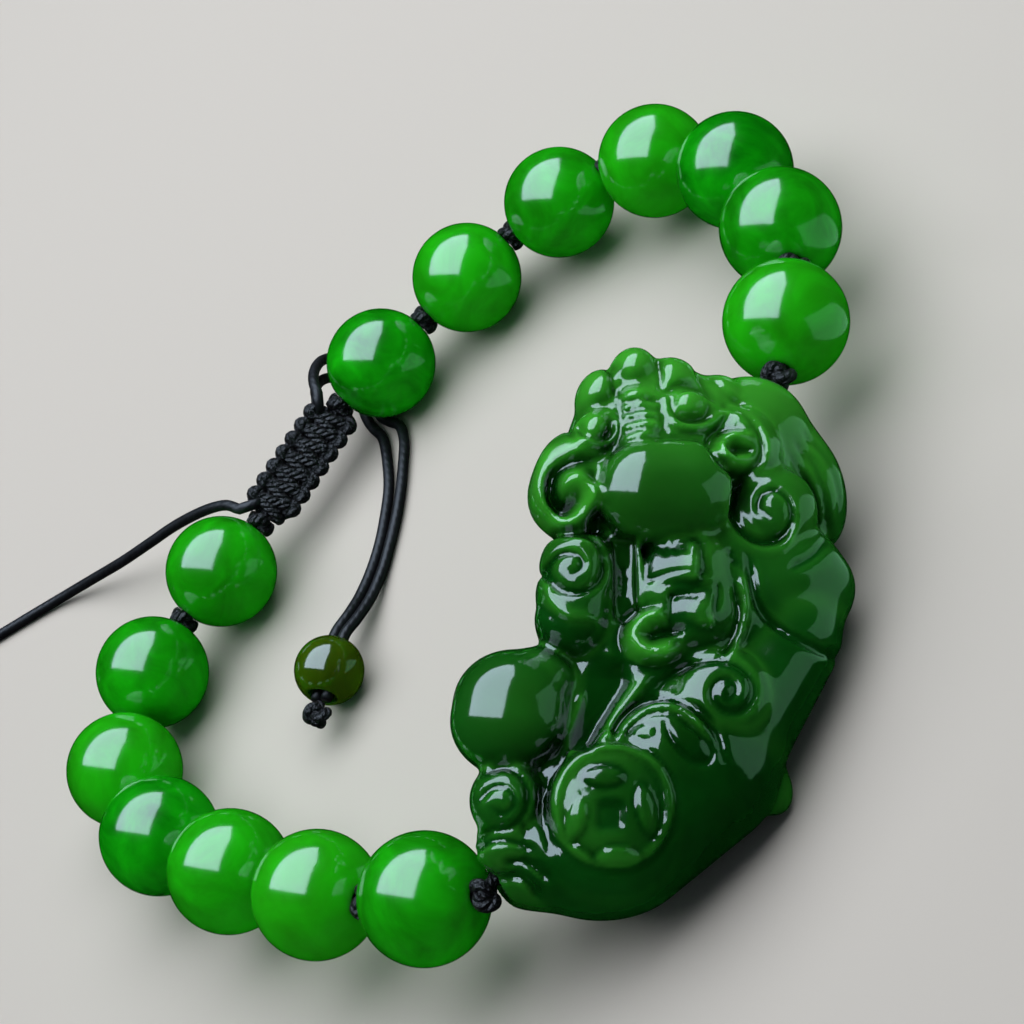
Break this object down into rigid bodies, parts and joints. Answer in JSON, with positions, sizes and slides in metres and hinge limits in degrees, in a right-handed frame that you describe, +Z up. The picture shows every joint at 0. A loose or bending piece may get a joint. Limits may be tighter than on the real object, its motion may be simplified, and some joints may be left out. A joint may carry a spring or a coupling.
{
  "type": "jade bead bracelet with carved pendant",
  "caption": "Bracelet of round green jade beads on black knotted cord, with a carved jade pixiu pendant and a sliding macrame knot, lying on its side.",
  "frame": {"origin": "bottom centre of the bracelet's box without its two loose cord tails, on the surface that it lies on", "axes": "+X along the pendant and the longer way across the loop, +Y from the pendant to the sliding knot, +Z up from the surface"},
  "size_m": [0.084, 0.11, 0.0227],
  "materials": {
    "jade_green": "polished, slightly translucent",
    "jade_dark": "polished, slightly translucent",
    "jade_olive": "polished, translucent",
    "cord_black": "waxed, slightly glossy"
  },
  "bodies": {
    "root": {"pendant": "jade_dark", "bead_01": "jade_green", "bead_02": "jade_green", "bead_03": "jade_green", "bead_04": "jade_green", "bead_05": "jade_green", "bead_06": "jade_green", "bead_07": "jade_green", "bead_08": "jade_green", "bead_09": "jade_green", "bead_10": "jade_green", "bead_11": "jade_green", "bead_12": "jade_green", "bead_13": "jade_green", "bead_14": "jade_green", "string": "cord_black", "slide_knot": "cord_black", "tail_a_strand_near": "cord_black", "tail_a_strand_far": "cord_black", "tail_b": "cord_black", "end_bead_a": "jade_olive", "end_bead_b": "jade_olive", "end_knot_a": "cord_black", "end_knot_b": "cord_black"}
  },
  "joints": []
}
